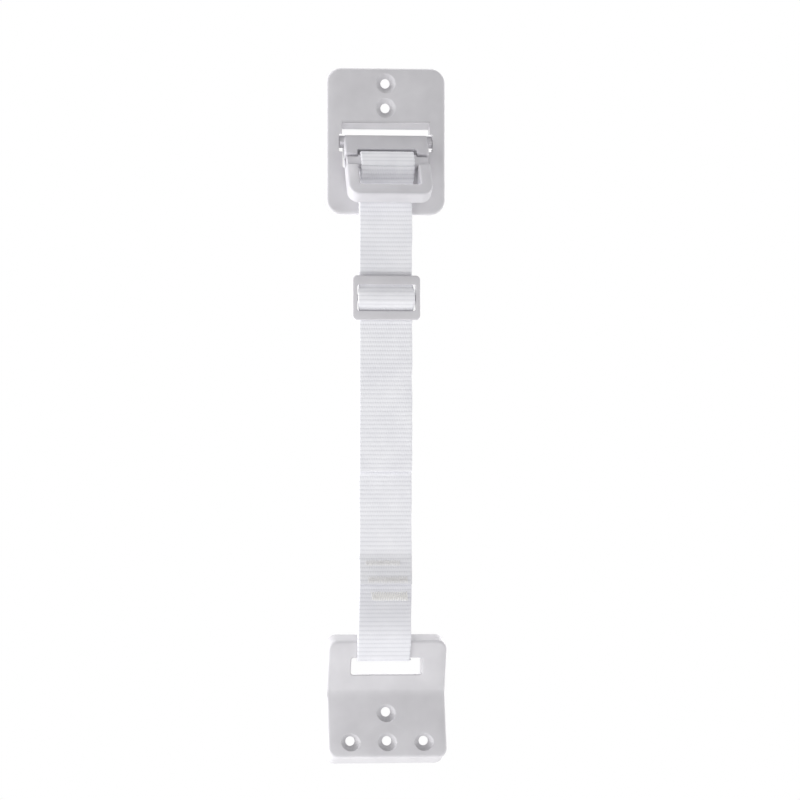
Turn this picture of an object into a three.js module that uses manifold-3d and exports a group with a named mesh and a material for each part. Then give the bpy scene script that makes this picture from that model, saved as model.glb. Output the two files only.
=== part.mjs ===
// Furniture anti tip strap: a wall plate with a hinged tightening buckle, a ribbed
// strap held by a slider, and a bent furniture plate that hangs in a sewn loop.
// Millimetres, +Z up. The wall is the plane y = 0 and the viewer stands at -Y.
// The origin is on the wall plate's back, midway between its two screw holes.
import * as THREE from "three";
import { mergeVertices } from "three/addons/utils/BufferGeometryUtils.js";
import Module from "manifold-3d";

const wasm = await Module();
wasm.setup();
const rad = THREE.MathUtils.degToRad;

// Driving dimensions of the wall plate
const plateWidth = 57.15;
const plateHeight = 69.85;
const plateThickness = 5.0;
const plateCorner = 7.2;
const plateFrontFillet = 1.2;
const plateTopAboveOrigin = 13.1;
const wallScrewSpacing = 11.76;
const screwHoleDiameter = 4.5;
const screwSinkDiameter = 9.3;
const screwSinkDepth = 2.4;
const screwLand = 0.9;
const screwReliefDiameter = 7.2;
const windowTopBelowOrigin = 16.0;
const windowTopBevel = 3.4;
const windowUpperWidth = 42.2;
const coreWall = 2.2;
const coreSkin = 2.2;
const ribWidth = 1.6;
const windowRim = 2.4;

// Driving dimensions of the buckle and its hinge
const buckleWidth = 40.4;
const buckleLength = 35.6;
const buckleThickness = 7.8;
const buckleCorner = 5.6;
const buckleTopCorner = 1.2;
const buckleFillet = 1.1;
const buckleTilt = 35;
const pivotDepth = 2.6;
const pivotBelowOrigin = 23.4;
const pivotBehindFace = 4.0;
const pivotBelowTop = 3.3;
const heelRadius = 2.45;
const heelStart = 2.6;
const pinDiameter = 3.0;
const pinReach = 3.9;
const pinClearance = 0.35;
const lugReach = 2.05;
const lugFront = 3.0;
const lugAbovePivot = 3.3;
const lugBelowPivot = 1.0;
const lugBehindPivot = 1.2;
const seatSkin = 0.6;
const notchSideGap = 2.3;
const notchAbovePivot = 5.0;
const notchBelowPivot = 3.35;
const windowBelowPivot = 11.1;
const buckleSideClearance = 0.6;
const headLength = 8.6;
const openingWidth = 28.7;
const openingLength = 20.9;
const openingCorner = 1.0;

// Driving dimensions of the lock bar
const barFromTop = 10.5;
const barHeight = 7.0;
const barThickness = 3.4;
const barRecess = 1.2;
const barRound = 1.4;
const barEndInset = 0.7;
const barEndFromTop = 12.0;
const barEndHeight = 5.2;
const barPlay = 0.6;
const seatClearance = 0.3;

// Driving dimensions of the webbing
const webbingWidth = 25.4;
const webbingThickness = 1.35;
const ribPitch = 2.06;
const ribDepth = 0.13;
const samplesPerRib = 2;
const wrapClearance = 0.2;
const layerGap = 0.3;
const tailEndBelowOrigin = 179.4;
const seamTopBelowOrigin = 221.2;
const seamBottomBelowOrigin = 232.9;
const tailSettleBelowPivot = 27.6;
const tailLeaveAngle = 16;
const seamForward = 2.2;
const seamBendLength = 37.9;
const strapSideShift = 0.5;
const foldSideShift = 1.4;
const foldShiftBelowSeam = 23;

// Driving dimensions of the slider
const sliderWidth = 32.6;
const sliderHeight = 21.2;
const sliderThickness = 2.1;
const sliderCorner = 2.2;
const sliderFillet = 0.6;
const sliderWindowWidth = 28.1;
const sliderWindowHeight = 12.5;
const sliderWindowCorner = 1.2;
const sliderBarHeight = 3.0;
const sliderBarThickness = 1.3;
const sliderBelowOrigin = 96.5;
const sliderClearance = 0.35;
const bulgeHalfFlat = 1.2;
const bulgeHalfLength = 7.0;

// Driving dimensions of the furniture plate
const bracketWidth = 57.15;
const upperWingLength = 26.6;
const lowerWingLength = 31.0;
const upperWingLean = 17.5;
const lowerWingLean = 15.5;
const bendBelowSeam = 52.1;
const bendThickness = 4.2;
const upperBackLift = 5.5;
const bracketCorner = 4.8;
const bracketFillet = 1.3;
const bracketSkin = 2.4;
const bracketCoreWall = 2.4;
const slotWidth = 34.0;
const slotHeight = 8.0;
const topBarHeight = 8.07;
const slotCorner = 1.0;
const slotRim = 2.2;
const upperHoleBelowBend = 8.6;
const lowerHolesBelowBend = 22.2;
const lowerHoleSpacing = 17.6;
const bossDiameter = 10.6;
const bracketSinkDepth = 2.3;

const roundSegments = 28;
const cornerSegments = 8;
const filletSegments = 3;
const past = 1.0;

// A closed geometry becomes a solid that can be cut and joined.
function toSolid(geometry, placement) {
  const g = geometry.clone();
  if (placement) g.applyMatrix4(placement);
  g.deleteAttribute("normal");
  g.deleteAttribute("uv");
  const merged = mergeVertices(g, 1e-5);
  const vertProperties = new Float32Array(merged.attributes.position.array);
  const triVerts = new Uint32Array(merged.index.array);
  return new wasm.Manifold(new wasm.Mesh({ numProp: 3, vertProperties, triVerts }));
}

function toGeometry(solid) {
  const m = solid.getMesh();
  const g = new THREE.BufferGeometry();
  g.setAttribute("position", new THREE.BufferAttribute(new Float32Array(m.vertProperties), 3));
  g.setIndex(new THREE.BufferAttribute(new Uint32Array(m.triVerts), 1));
  g.computeVertexNormals();
  return g;
}

// Outline drawn in x and z, extruded from y = back towards the viewer.
function slab(shape, back, depth, bevel = 0) {
  const flat = depth - 2 * bevel;
  const g = new THREE.ExtrudeGeometry(shape, {
    depth: flat, steps: 1, curveSegments: cornerSegments,
    bevelEnabled: bevel > 0, bevelThickness: bevel, bevelSize: bevel,
    bevelOffset: -bevel, bevelSegments: filletSegments,
  });
  const toWorld = new THREE.Matrix4().makeBasis(
    new THREE.Vector3(1, 0, 0), new THREE.Vector3(0, 0, 1), new THREE.Vector3(0, -1, 0));
  toWorld.setPosition(0, back - bevel, 0);
  return toSolid(g, toWorld);
}

// Section drawn in y and z, extruded along x and centred on x = 0.
function prism(shape, width, x = 0) {
  const g = new THREE.ExtrudeGeometry(shape, {
    depth: width, steps: 1, curveSegments: cornerSegments * 2, bevelEnabled: false,
  });
  const toWorld = new THREE.Matrix4().makeBasis(
    new THREE.Vector3(0, 1, 0), new THREE.Vector3(0, 0, 1), new THREE.Vector3(1, 0, 0));
  toWorld.setPosition(x - width / 2, 0, 0);
  return toSolid(g, toWorld);
}

function box(x0, x1, y0, y1, z0, z1) {
  const g = new THREE.BoxGeometry(x1 - x0, y1 - y0, z1 - z0);
  g.translate((x0 + x1) / 2, (y0 + y1) / 2, (z0 + z1) / 2);
  return toSolid(g);
}

function roundedRect(x0, x1, z0, z1, lower, upper = lower) {
  const s = new THREE.Shape();
  s.moveTo(x0 + lower, z0);
  s.lineTo(x1 - lower, z0);
  s.absarc(x1 - lower, z0 + lower, lower, -Math.PI / 2, 0);
  s.lineTo(x1, z1 - upper);
  s.absarc(x1 - upper, z1 - upper, upper, 0, Math.PI / 2);
  s.lineTo(x0 + upper, z1);
  s.absarc(x0 + upper, z1 - upper, upper, Math.PI / 2, Math.PI);
  s.lineTo(x0, z0 + lower);
  s.absarc(x0 + lower, z0 + lower, lower, Math.PI, Math.PI * 1.5);
  return s;
}

function polygon(points) {
  return new THREE.Shape(points.map(([a, b]) => new THREE.Vector2(a, b)));
}

// A screw hole along y: its countersink opens at y = front, and a wider relief at the back.
function screwCut(x, z, front, depth, sinkDepth) {
  const sinkRadius = screwSinkDiameter / 2;
  const holeRadius = screwHoleDiameter / 2;
  const reliefRadius = screwReliefDiameter / 2;
  const landBack = depth - sinkDepth - screwLand;
  const profile = [
    new THREE.Vector2(0, -past), new THREE.Vector2(reliefRadius, -past),
    new THREE.Vector2(reliefRadius, landBack), new THREE.Vector2(holeRadius, landBack),
    new THREE.Vector2(holeRadius, depth - sinkDepth), new THREE.Vector2(sinkRadius, depth),
    new THREE.Vector2(sinkRadius, depth + 2 * past), new THREE.Vector2(0, depth + 2 * past),
  ];
  const g = new THREE.LatheGeometry(profile, roundSegments);
  g.rotateX(Math.PI);
  g.translate(x, front + depth, z);
  return toSolid(g);
}

function cylinderAlongX(radius, x0, x1, y, z, segments = roundSegments) {
  const g = new THREE.CylinderGeometry(radius, radius, x1 - x0, segments);
  g.rotateZ(Math.PI / 2);
  g.translate((x0 + x1) / 2, y, z);
  return toSolid(g);
}

function cylinderAlongY(radius, x, z, y0, y1) {
  const g = new THREE.CylinderGeometry(radius, radius, y1 - y0, roundSegments);
  g.translate(x, (y0 + y1) / 2, z);
  return toSolid(g);
}

// Sizes that follow from the driving ones
const halfPlate = plateWidth / 2;
const plateTop = plateTopAboveOrigin;
const plateBottom = plateTop - plateHeight;
const plateFront = -plateThickness;
const pivot = new THREE.Vector2(-pivotDepth, -pivotBelowOrigin);
const windowLow = pivot.y - windowBelowPivot;
const windowTop = -windowTopBelowOrigin;
const lowerWindowHalf = buckleWidth / 2 + buckleSideClearance;
const notchHalf = buckleWidth / 2 + notchSideGap;
const seatHalf = buckleWidth / 2 + pinReach + pinClearance;
const tilt = rad(buckleTilt);

// A point of the buckle's own section, y and z from its pivot, in the object's frame.
function fromBuckle(y, z) {
  return new THREE.Vector2(
    pivot.x + y * Math.cos(tilt) + z * Math.sin(tilt),
    pivot.y - y * Math.sin(tilt) + z * Math.cos(tilt));
}

function wallPlate() {
  const outline = roundedRect(-halfPlate, halfPlate, plateBottom, plateTop, plateCorner);
  let plate = slab(outline, plateFrontFillet * 2, plateThickness + plateFrontFillet * 2, plateFrontFillet);
  plate = plate.subtract(box(-plateWidth, plateWidth, 0, plateThickness * 2, plateBottom - past, plateTop + past));

  const insideX = halfPlate - coreWall;
  let core = slab(
    roundedRect(-insideX, insideX, plateBottom + coreWall, plateTop - coreWall, plateCorner - coreWall),
    past, plateThickness - coreSkin + past);
  const padHalf = screwSinkDiameter / 2 + coreWall;
  const padTop = plateTop - coreWall;
  const keep = [
    box(-padHalf, padHalf, -plateThickness, past * 2, windowTop, padTop + past),
    box(-seatHalf - windowRim, seatHalf + windowRim, -plateThickness, past * 2,
      windowLow - windowRim, windowTop + windowTopBevel + windowRim),
  ];
  const underWindow = windowLow - windowRim;
  for (const x of [-halfPlate / 2, 0, halfPlate / 2]) {
    keep.push(box(x - ribWidth / 2, x + ribWidth / 2, -plateThickness, past * 2, plateBottom, underWindow + past));
  }
  for (const x of [-halfPlate / 2 - ribWidth, halfPlate / 2 + ribWidth]) {
    keep.push(box(x - ribWidth / 2, x + ribWidth / 2, -plateThickness, past * 2, windowTop, plateTop));
  }
  for (const block of keep) core = core.subtract(block);
  plate = plate.subtract(core);

  const bevelled = polygon([
    [past, windowLow], [past, windowTop], [0, windowTop],
    [plateFront, windowTop + windowTopBevel], [plateFront - past, windowTop + windowTopBevel],
    [plateFront - past, windowLow],
  ]);
  const upperOnly = box(-windowUpperWidth / 2, windowUpperWidth / 2, -plateWidth, plateWidth,
    pivot.y, plateTop);
  plate = plate.subtract(prism(bevelled, plateWidth).intersect(upperOnly));
  plate = plate.subtract(slab(
    roundedRect(-lowerWindowHalf, lowerWindowHalf, windowLow, pivot.y + past, openingCorner), past,
    plateThickness + 2 * past));
  plate = plate.subtract(slab(
    roundedRect(-notchHalf, notchHalf, pivot.y - notchBelowPivot, pivot.y + notchAbovePivot, openingCorner / 2),
    past, plateThickness + 2 * past));

  // The hinge pins drop into seats that open to the back, where the wall closes them.
  const seatRadius = pinDiameter / 2 + pinClearance;
  const seatDeep = Math.min(seatRadius, plateThickness - seatSkin - pivotDepth);
  plate = plate.subtract(box(-seatHalf, seatHalf, pivot.x - seatDeep + past / 2, past,
    pivot.y - seatRadius, pivot.y + seatRadius));
  plate = plate.subtract(cylinderAlongX(seatRadius, -seatHalf, seatHalf, pivot.x, pivot.y)
    .intersect(box(-seatHalf, seatHalf, pivot.x - seatDeep, past, pivot.y - seatRadius, pivot.y + seatRadius)));

  for (const side of [-1, 1]) {
    plate = plate.subtract(screwCut(0, side * wallScrewSpacing / 2, plateFront, plateThickness, screwSinkDepth));
  }
  return toGeometry(plate);
}

// The buckle in its own frame: the pivot is the origin, the front face looks along -y.
function buckleFrame() {
  const top = pivotBelowTop;
  const bottom = top - buckleLength;
  const half = buckleWidth / 2;
  const front = -pivotBehindFace;
  const back = front + buckleThickness;
  let body = slab(roundedRect(-half, half, bottom, top, buckleCorner, buckleTopCorner),
    back, buckleThickness, buckleFillet);
  const windowTopZ = top - headLength;
  const windowLowZ = windowTopZ - openingLength;
  body = body.subtract(slab(
    roundedRect(-openingWidth / 2, openingWidth / 2, windowLowZ, windowTopZ, openingCorner),
    back + past, buckleThickness + 2 * past));

  // The head's heel is rounded about the hinge so that it turns clear of the wall.
  const heel = new THREE.Shape();
  heel.moveTo(back + past, top + past);
  heel.lineTo(-heelStart, top + past);
  heel.lineTo(-heelStart, top);
  heel.absarc(0, 0, heelRadius, rad(60), rad(20), true);
  heel.lineTo(back, -heelRadius * 0.65);
  heel.lineTo(back + past, -heelRadius * 0.65);
  body = body.subtract(prism(heel, buckleWidth + 2 * past));

  // The seats of the lock bar: cut across both rails, open to the front.
  const seatTop = top - barEndFromTop + barPlay;
  const seatLow = top - barEndFromTop - barEndHeight - barPlay;
  const seatBack = front + barRecess + barThickness + seatClearance;
  body = body.subtract(box(-buckleWidth, buckleWidth, front - past, seatBack, seatLow, seatTop));

  // A lug beside the head on each side, set back from its face, carries the hinge pin.
  const lug = polygon([
    [-lugFront, -lugBelowPivot], [lugBehindPivot, -lugBelowPivot],
    [heelRadius * 0.78, heelRadius * 0.2], [heelRadius * 0.45, heelRadius * 0.85],
    [-lugFront * 0.85, lugAbovePivot], [-lugFront, lugAbovePivot],
  ]);
  const besideHead = box(-openingWidth / 2, openingWidth / 2, -buckleLength, buckleLength, -buckleLength, buckleLength);
  body = body.add(prism(lug, buckleWidth + 2 * lugReach).subtract(besideHead));

  const reach = half + pinReach;
  body = body.add(cylinderAlongX(pinDiameter / 2, -reach, reach, 0, 0).subtract(
    box(-openingWidth / 2, openingWidth / 2, -past * 4, past * 4, -past * 4, past * 4)));
  return toGeometry(body);
}

// The lock bar: full height in the opening, with lower end tongues that lie in the seats.
function lockBar() {
  const top = pivotBelowTop - barFromTop;
  const front = -pivotBehindFace + barRecess;
  const middle = roundedRect(front, front + barThickness, top - barHeight, top, barRound);
  const endTop = pivotBelowTop - barEndFromTop;
  const ends = roundedRect(front, front + barThickness, endTop - barEndHeight, endTop, barRound / 2);
  return toGeometry(prism(middle, openingWidth - 2 * seatClearance)
    .add(prism(ends, buckleWidth - 2 * barEndInset)));
}

// How far the strap lies to one side at a height: a little below the buckle, and more at
// the fold in the furniture plate's slot.
function sideShift(z) {
  const smooth = THREE.MathUtils.smoothstep;
  const settled = -pivot.y + tailSettleBelowPivot;
  return -strapSideShift * smooth(-z, -pivot.y, settled)
    - foldSideShift * smooth(-z, seamBottomBelowOrigin, seamBottomBelowOrigin + foldShiftBelowSeam);
}

// A ribbed strip: the route is a path in y and z, the width runs along x.
function ribbedStrip(route) {
  route.curves.forEach((c) => { c.arcLengthDivisions = 60; });
  const steps = Math.round(route.getLength() / (ribPitch / samplesPerRib));
  const centre = route.getSpacedPoints(steps);
  const half = webbingWidth / 2;
  const positions = [];
  centre.forEach((p, i) => {
    const before = centre[Math.max(i - 1, 0)];
    const after = centre[Math.min(i + 1, steps)];
    const along = after.clone().sub(before).normalize();
    const valley = i % samplesPerRib === 0 && i > 0 && i < steps;
    const reach = webbingThickness / 2 - (valley ? ribDepth : 0);
    const off = new THREE.Vector2(-along.y, along.x).multiplyScalar(reach);
    const left = sideShift(p.y) - half;
    const right = sideShift(p.y) + half;
    positions.push(left, p.x + off.x, p.y + off.y, right, p.x + off.x, p.y + off.y);
    positions.push(right, p.x - off.x, p.y - off.y, left, p.x - off.x, p.y - off.y);
  });
  const index = [];
  for (let i = 0; i < steps; i++) {
    for (let k = 0; k < 4; k++) {
      const a = 4 * i + k;
      const b = 4 * i + (k + 1) % 4;
      index.push(a, b, b + 4, a, b + 4, a + 4);
    }
  }
  const last = 4 * steps;
  index.push(0, 2, 1, 0, 3, 2, last, last + 1, last + 2, last, last + 2, last + 3);
  const g = new THREE.BufferGeometry();
  g.setAttribute("position", new THREE.Float32BufferAttribute(positions, 3));
  g.setIndex(index);
  const solid = new wasm.Manifold(new wasm.Mesh({
    numProp: 3, vertProperties: new Float32Array(positions), triVerts: new Uint32Array(index),
  }));
  if (solid.volume() < 0) throw new Error("the strip is inside out");
  g.computeVertexNormals();
  return g;
}

// Corners of the lock bar that the webbing turns round, in the object's frame
const wrapRadius = barRound + webbingThickness / 2 + wrapClearance;
const barTopZ = pivotBelowTop - barFromTop;
const barFrontY = -pivotBehindFace + barRecess;
const turnBack = fromBuckle(barFrontY + barThickness - barRound, barTopZ - barRound);
const turnFront = fromBuckle(barFrontY + barRound, barTopZ - barRound);
const turnLow = fromBuckle(barFrontY + barRound, barTopZ - barHeight + barRound);
const mainY = turnBack.x + wrapRadius;
const tailY = mainY - webbingThickness - layerGap;
const sliderBackY = tailY - webbingThickness / 2 - sliderClearance;
const sliderBarFrontY = sliderBackY - sliderBarThickness;
const bulgeHeight = tailY - (sliderBarFrontY - layerGap - webbingThickness / 2);

// How far the sewn end leans to the viewer at a height.
function leanForward(z) {
  const share = THREE.MathUtils.clamp((seamBendLength - seamBottomBelowOrigin - z) / seamBendLength, 0, 1);
  return seamForward * share * share;
}

// The strap: up behind the lock bar, over it, down again and through the slider.
function strapRoute() {
  const route = new THREE.Path();
  const bendStart = seamBendLength - seamBottomBelowOrigin;
  route.moveTo(mainY - seamForward, -seamBottomBelowOrigin);
  route.quadraticCurveTo(mainY, bendStart - seamBendLength / 2, mainY, bendStart);
  route.lineTo(mainY, turnBack.y);
  const overTop = Math.PI / 2 - tilt;
  const overFront = Math.PI - tilt;
  route.absarc(turnBack.x, turnBack.y, wrapRadius, 0, overTop);
  route.absarc(turnFront.x, turnFront.y, wrapRadius, overTop, overFront);
  const leave = Math.PI + rad(tailLeaveAngle);
  route.absarc(turnLow.x, turnLow.y, wrapRadius, overFront, leave);
  const from = new THREE.Vector2(
    turnLow.x + wrapRadius * Math.cos(leave), turnLow.y + wrapRadius * Math.sin(leave));
  const settle = pivot.y - tailSettleBelowPivot;
  const pull = (from.y - settle) / 2.4;
  route.bezierCurveTo(
    from.x + pull * Math.sin(rad(tailLeaveAngle)), from.y - pull * Math.cos(rad(tailLeaveAngle)),
    tailY, settle + pull, tailY, settle);
  const centre = -sliderBelowOrigin;
  const up = centre + bulgeHalfLength;
  const down = centre - bulgeHalfLength;
  const peak = tailY - bulgeHeight;
  const ease = (bulgeHalfLength - bulgeHalfFlat) / 2;
  route.lineTo(tailY, up);
  route.bezierCurveTo(tailY, up - ease, peak, centre + bulgeHalfFlat + ease, peak, centre + bulgeHalfFlat);
  route.lineTo(peak, centre - bulgeHalfFlat);
  route.bezierCurveTo(peak, centre - bulgeHalfFlat - ease, tailY, down + ease, tailY, down);
  route.lineTo(tailY, -tailEndBelowOrigin);
  return route;
}

// The furniture plate's front wings, met at the bend line
const bendZ = -seamBottomBelowOrigin - bendBelowSeam;
const bendFrontY = -bendThickness;
const slotTop = bendZ + upperWingLength * Math.cos(rad(upperWingLean)) - topBarHeight;
function wingPoint(up, along) {
  const lean = rad(up ? upperWingLean : lowerWingLean);
  return new THREE.Vector2(bendFrontY - along * Math.sin(lean), bendZ + (up ? 1 : -1) * along * Math.cos(lean));
}

// One wing as a thick slab leaning to the viewer, its front set back by inset.
function wing(up, inset, side) {
  const length = up ? upperWingLength : lowerWingLength;
  const half = bracketWidth / 2 - side;
  const deep = 20;
  const overlap = deep * 0.5;
  const outer = Math.max(bracketCorner - side, past);
  const shape = up
    ? roundedRect(-half, half, -overlap, length - side, outer)
    : roundedRect(-half, half, -length + side, overlap, outer);
  const fillet = inset > 0 ? 0 : bracketFillet;
  const solid = slab(shape, deep, deep - inset, fillet);
  const lean = rad(up ? upperWingLean : -lowerWingLean);
  const m = new THREE.Matrix4().makeRotationX(lean);
  m.setPosition(0, bendFrontY, bendZ);
  return solid.transform(m.elements);
}

function bothWings(inset, side) {
  return wing(true, inset, side).add(wing(false, inset, side));
}

function wingsWithBack() {
  const front = -bracketWidth;
  const reach = upperWingLength + lowerWingLength;
  const lift = reach * Math.tan(rad(upperBackLift));
  const cutBack = polygon([
    [0, bendZ - reach], [0, bendZ], [-lift, bendZ + reach],
    [front, bendZ + reach], [front, bendZ - reach],
  ].reverse());
  return bothWings(0, 0).intersect(prism(cutBack, bracketWidth + 2 * past));
}

function furniturePlate() {
  const far = -bracketWidth;
  let plate = wingsWithBack();
  const slotHalf = slotWidth / 2;
  const holes = [
    [0, bendZ - upperHoleBelowBend], [-lowerHoleSpacing, bendZ - lowerHolesBelowBend],
    [0, bendZ - lowerHolesBelowBend], [lowerHoleSpacing, bendZ - lowerHolesBelowBend],
  ];

  let core = bothWings(bracketSkin, bracketCoreWall);
  const solidBand = bendZ + ribWidth;
  const keep = [
    box(-slotHalf - slotRim, slotHalf + slotRim, far, past * 6, slotTop - slotHeight - slotRim, 0),
    box(-bracketWidth, bracketWidth, far, past * 6, bendZ - ribWidth, solidBand),
  ];
  for (const [x, z] of holes) keep.push(cylinderAlongY(bossDiameter / 2, x, z, far, past * 6));
  for (const x of [-lowerHoleSpacing, 0, lowerHoleSpacing]) {
    keep.push(box(x - ribWidth / 2, x + ribWidth / 2, far, past * 6, bendZ - bracketWidth, bendZ));
  }
  for (const block of keep) core = core.subtract(block);
  plate = plate.subtract(core);

  plate = plate.subtract(slab(
    roundedRect(-slotHalf, slotHalf, slotTop - slotHeight, slotTop, slotCorner), past * 6, bracketWidth));
  for (const [x, z] of holes) {
    const along = (bendZ - z) / Math.cos(rad(lowerWingLean));
    const front = wingPoint(false, along).x;
    plate = plate.subtract(screwCut(x, z, front, -front, bracketSinkDepth));
  }
  return toGeometry(plate);
}

function sliderFrame() {
  const z = -sliderBelowOrigin;
  const half = sliderWidth / 2;
  const tall = sliderHeight / 2;
  const middle = sideShift(z);
  let frame = slab(roundedRect(middle - half, middle + half, z - tall, z + tall, sliderCorner),
    sliderBackY, sliderThickness, sliderFillet);
  const w = sliderWindowWidth / 2;
  const h = sliderWindowHeight / 2;
  frame = frame.subtract(slab(
    roundedRect(middle - w, middle + w, z - h, z + h, sliderWindowCorner), sliderBackY + past, sliderThickness + 2 * past));
  const bar = roundedRect(sliderBarFrontY, sliderBackY, z - sliderBarHeight / 2, z + sliderBarHeight / 2,
    sliderBarThickness * 0.45);
  return toGeometry(frame.add(prism(bar, sliderWindowWidth + past).translate(middle, 0, 0)));
}

// The loop strip: both ends lie behind the strap's sewn end, and it goes over the
// furniture plate's top bar, through the slot and up behind the bar.
function loopRoute() {
  const t = webbingThickness;
  const seamTop = -seamTopBelowOrigin;
  const seamLow = -seamBottomBelowOrigin;
  const topLegY = mainY + t + layerGap - leanForward(seamTop);
  const frontLegY = mainY + t + layerGap - leanForward(seamLow);
  const layer = t + layerGap;
  const slope = 2 * seamForward / seamBendLength;
  const off = t / 2 + layerGap;
  const topAlong = upperWingLength;
  const topFront = wingPoint(true, topAlong);
  const slotAlong = (slotTop - bendZ) / Math.cos(rad(upperWingLean));
  const slotFront = wingPoint(true, slotAlong);
  const lean = rad(upperWingLean);
  const backLift = (slotTop - bendZ) * Math.tan(rad(upperBackLift));
  const backFaceY = -backLift;
  const route = new THREE.Path();
  route.moveTo(topLegY, seamTop);
  route.lineTo(frontLegY, seamLow);
  const overX = topFront.x - off * Math.cos(lean);
  const overZ = topFront.y + bracketFillet * 0.4 - off * Math.sin(lean);
  const reach = (seamLow - overZ) / 2.2;
  route.bezierCurveTo(frontLegY - reach * slope, seamLow - reach, overX - reach * 0.25, overZ + reach, overX, overZ);
  const lowX = slotFront.x - off * Math.cos(lean);
  const lowZ = slotFront.y - off * Math.sin(lean);
  route.lineTo(lowX, lowZ);
  const turn = off;
  route.absarc(slotFront.x, slotFront.y, turn, Math.PI + lean, Math.PI * 1.5);
  route.lineTo(backFaceY, slotTop - turn);
  route.absarc(backFaceY, slotTop, turn, -Math.PI / 2, 0);
  const backTopZ = bendZ + upperWingLength;
  const backTopY = -(backTopZ - bendZ) * Math.tan(rad(upperBackLift)) + turn;
  route.lineTo(backTopY, backTopZ);
  const rise = (seamLow - backTopZ) / 2.4;
  route.bezierCurveTo(backTopY - rise * Math.tan(rad(upperBackLift)), backTopZ + rise,
    frontLegY + layer - rise * slope, seamLow - rise, frontLegY + layer, seamLow);
  route.lineTo(topLegY + layer, seamTop);
  return route;
}

function finish(color, roughness) {
  return new THREE.MeshStandardMaterial({ color, roughness, metalness: 0 });
}

function piece(name, geometry, color, roughness) {
  const mesh = new THREE.Mesh(geometry, finish(color, roughness));
  mesh.name = name;
  return mesh;
}

const plasticWhite = 0xdedce0;
const webbingWhite = 0xf0f0f5;

const strap = new THREE.Group();
strap.add(piece("wall_plate", wallPlate(), plasticWhite, 0.45));

const buckle = new THREE.Group();
buckle.position.set(0, pivot.x, pivot.y);
buckle.rotation.x = -tilt;
buckle.add(piece("buckle_frame", buckleFrame(), plasticWhite, 0.45));
buckle.add(piece("lock_bar", lockBar(), plasticWhite, 0.45));
strap.add(buckle);

strap.add(piece("webbing_strap", ribbedStrip(strapRoute()), webbingWhite, 0.9));
strap.add(piece("strap_slider", sliderFrame(), plasticWhite, 0.45));
strap.add(piece("loop_strip", ribbedStrip(loopRoute()), webbingWhite, 0.9));
strap.add(piece("furniture_plate", furniturePlate(), plasticWhite, 0.45));

export default strap;
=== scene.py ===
# %% [markdown]
# # A furniture anti tip strap
# The strap ties a cupboard to a wall. A white moulded plate is screwed to the wall, a
# hinged buckle in it grips a ribbed strap, and a bent plate on the furniture hangs in the
# strap's sewn loop. The solid model of the object is loaded first as a fixed frame. Every
# piece made here takes its place from it, so nothing is moved to fit afterwards.

# %% Load the frame
import math
import bmesh
import bpy
import numpy as np
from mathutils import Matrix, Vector


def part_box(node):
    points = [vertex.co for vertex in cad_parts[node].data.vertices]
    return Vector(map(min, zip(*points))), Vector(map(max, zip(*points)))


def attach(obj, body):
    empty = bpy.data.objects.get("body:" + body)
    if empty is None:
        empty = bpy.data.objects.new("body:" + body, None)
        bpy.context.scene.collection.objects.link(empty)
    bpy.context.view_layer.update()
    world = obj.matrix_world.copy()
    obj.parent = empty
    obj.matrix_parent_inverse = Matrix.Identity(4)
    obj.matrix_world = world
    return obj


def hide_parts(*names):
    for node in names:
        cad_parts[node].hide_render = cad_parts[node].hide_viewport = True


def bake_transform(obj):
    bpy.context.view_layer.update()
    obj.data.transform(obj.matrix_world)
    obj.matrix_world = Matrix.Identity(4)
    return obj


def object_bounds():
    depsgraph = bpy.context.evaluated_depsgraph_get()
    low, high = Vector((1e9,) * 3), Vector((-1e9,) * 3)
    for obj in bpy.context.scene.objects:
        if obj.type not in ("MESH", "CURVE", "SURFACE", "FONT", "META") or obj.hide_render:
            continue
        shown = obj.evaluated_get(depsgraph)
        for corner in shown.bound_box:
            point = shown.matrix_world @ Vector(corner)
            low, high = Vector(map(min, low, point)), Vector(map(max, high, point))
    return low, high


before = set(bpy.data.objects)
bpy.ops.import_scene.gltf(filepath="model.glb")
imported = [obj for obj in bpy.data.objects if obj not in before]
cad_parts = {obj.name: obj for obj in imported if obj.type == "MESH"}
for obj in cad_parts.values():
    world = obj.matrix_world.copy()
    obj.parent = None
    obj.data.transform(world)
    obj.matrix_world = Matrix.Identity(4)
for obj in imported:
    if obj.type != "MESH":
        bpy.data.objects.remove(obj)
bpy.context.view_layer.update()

MM = 0.001
print("nodes:", sorted(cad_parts))

# %% [markdown]
# ## The camera
# The object was photographed with a long lens, from a little to its left and a hair below
# its middle, so upright lines stay parallel. A long lens far away does the same here. The
# scale is worked out from the wall plate's height, 69.85 mm, which is 146.2 pixels there.

# %% Place the camera
IMAGE_SIDE = 800
PIXELS_PER_MM = 2.093
CAMERA_AZIMUTH = math.radians(-8.5)
CAMERA_ELEVATION = math.radians(-0.7)
CAMERA_DISTANCE = 2.5
ORIGIN_PIXEL = (384.3, 96.5)
FRAME_MIDDLE_PIXEL = IMAGE_SIDE / 2

camera_data = bpy.data.cameras.new("camera")
camera = bpy.data.objects.new("camera", camera_data)
bpy.context.collection.objects.link(camera)
bpy.context.scene.camera = camera
camera_data.sensor_width = 36.0
camera_data.lens = PIXELS_PER_MM / MM * CAMERA_DISTANCE * camera_data.sensor_width / IMAGE_SIDE
back = Vector((math.sin(CAMERA_AZIMUTH) * math.cos(CAMERA_ELEVATION),
               -math.cos(CAMERA_AZIMUTH) * math.cos(CAMERA_ELEVATION),
               math.sin(CAMERA_ELEVATION)))
turn = (-back).to_track_quat("-Z", "Y")
right = turn @ Vector((1, 0, 0))
up = turn @ Vector((0, 1, 0))
aim = (right * (FRAME_MIDDLE_PIXEL - ORIGIN_PIXEL[0])
       - up * (FRAME_MIDDLE_PIXEL - ORIGIN_PIXEL[1]))
aim = aim * (MM / PIXELS_PER_MM)
camera.rotation_mode = "QUATERNION"
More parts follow.
